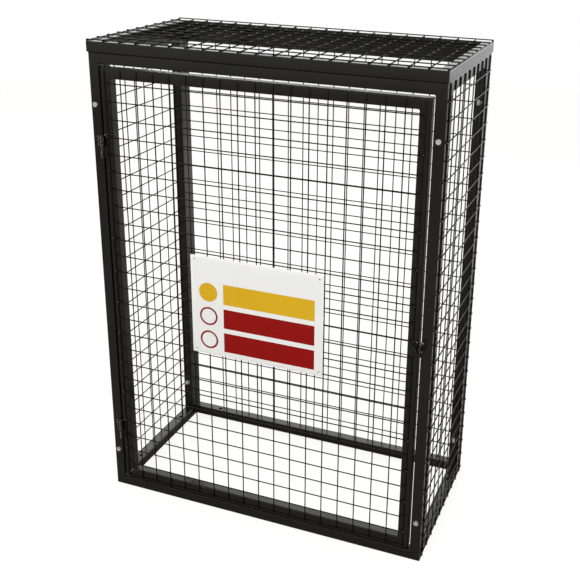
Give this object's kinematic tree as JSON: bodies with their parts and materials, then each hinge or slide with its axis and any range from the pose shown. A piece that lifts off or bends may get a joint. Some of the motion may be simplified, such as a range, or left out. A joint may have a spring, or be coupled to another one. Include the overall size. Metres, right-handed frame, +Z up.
{
  "type": "gas cylinder cage",
  "caption": "Lockable gas cylinder storage cage of black square tube and welded wire mesh, with a hinged front door and padlock lugs.",
  "frame": {"origin": "on the floor under the middle of the whole cage's box", "axes": "+X to the right seen from the front, +Y from the front to the back, +Z up"},
  "size_m": [1.0132, 0.543, 1.4069],
  "materials": {
    "black_coat": "satin black powder coat on square steel tube and plate",
    "black_wire": "satin black powder coat on welded steel wire",
    "zinc": "bright zinc plated steel",
    "sign_white": "white sign plate with plain colour fields, semi-gloss"
  },
  "bodies": {
    "cage": {"front_top_rail": "black_coat", "front_bottom_rail": "black_coat", "front_right_stile": "black_coat", "front_left_stile": "black_coat", "back_top_rail": "black_coat", "back_bottom_rail": "black_coat", "back_right_stile": "black_coat", "back_left_stile": "black_coat", "left_side_top_rail": "black_coat", "left_side_bottom_rail": "black_coat", "left_side_front_stile": "black_coat", "left_side_back_stile": "black_coat", "left_side_mesh": "black_wire", "right_side_top_rail": "black_coat", "right_side_bottom_rail": "black_coat", "right_side_front_stile": "black_coat", "right_side_back_stile": "black_coat", "right_side_mesh": "black_wire", "back_mesh_lower": "black_wire", "back_mesh_upper": "black_wire", "top_back_rail": "black_coat", "top_front_rail": "black_coat", "top_right_rail": "black_coat", "top_left_rail": "black_coat", "top_mesh": "black_wire", "upper_hinge_frame_half": "black_coat", "lower_hinge_frame_half": "black_coat", "upper_hinge_pin": "zinc", "lower_hinge_pin": "zinc", "frame_lock_lug": "black_coat"},
    "door": {"door_top_rail": "black_coat", "door_bottom_rail": "black_coat", "door_right_stile": "black_coat", "door_left_stile": "black_coat", "door_mesh_lower": "black_wire", "door_mesh_upper": "black_wire", "sign_plate": "sign_white", "upper_hinge_door_half": "black_coat", "lower_hinge_door_half": "black_coat", "door_lock_lug": "black_coat"}
  },
  "joints": [
    {"name": "door_hinge", "type": "hinge", "parent": "cage", "child": "door", "pos_m": [-0.4675, -0.24145, 0.7], "axis": [0, 0, -1], "range_deg": [0, 180]}
  ]
}
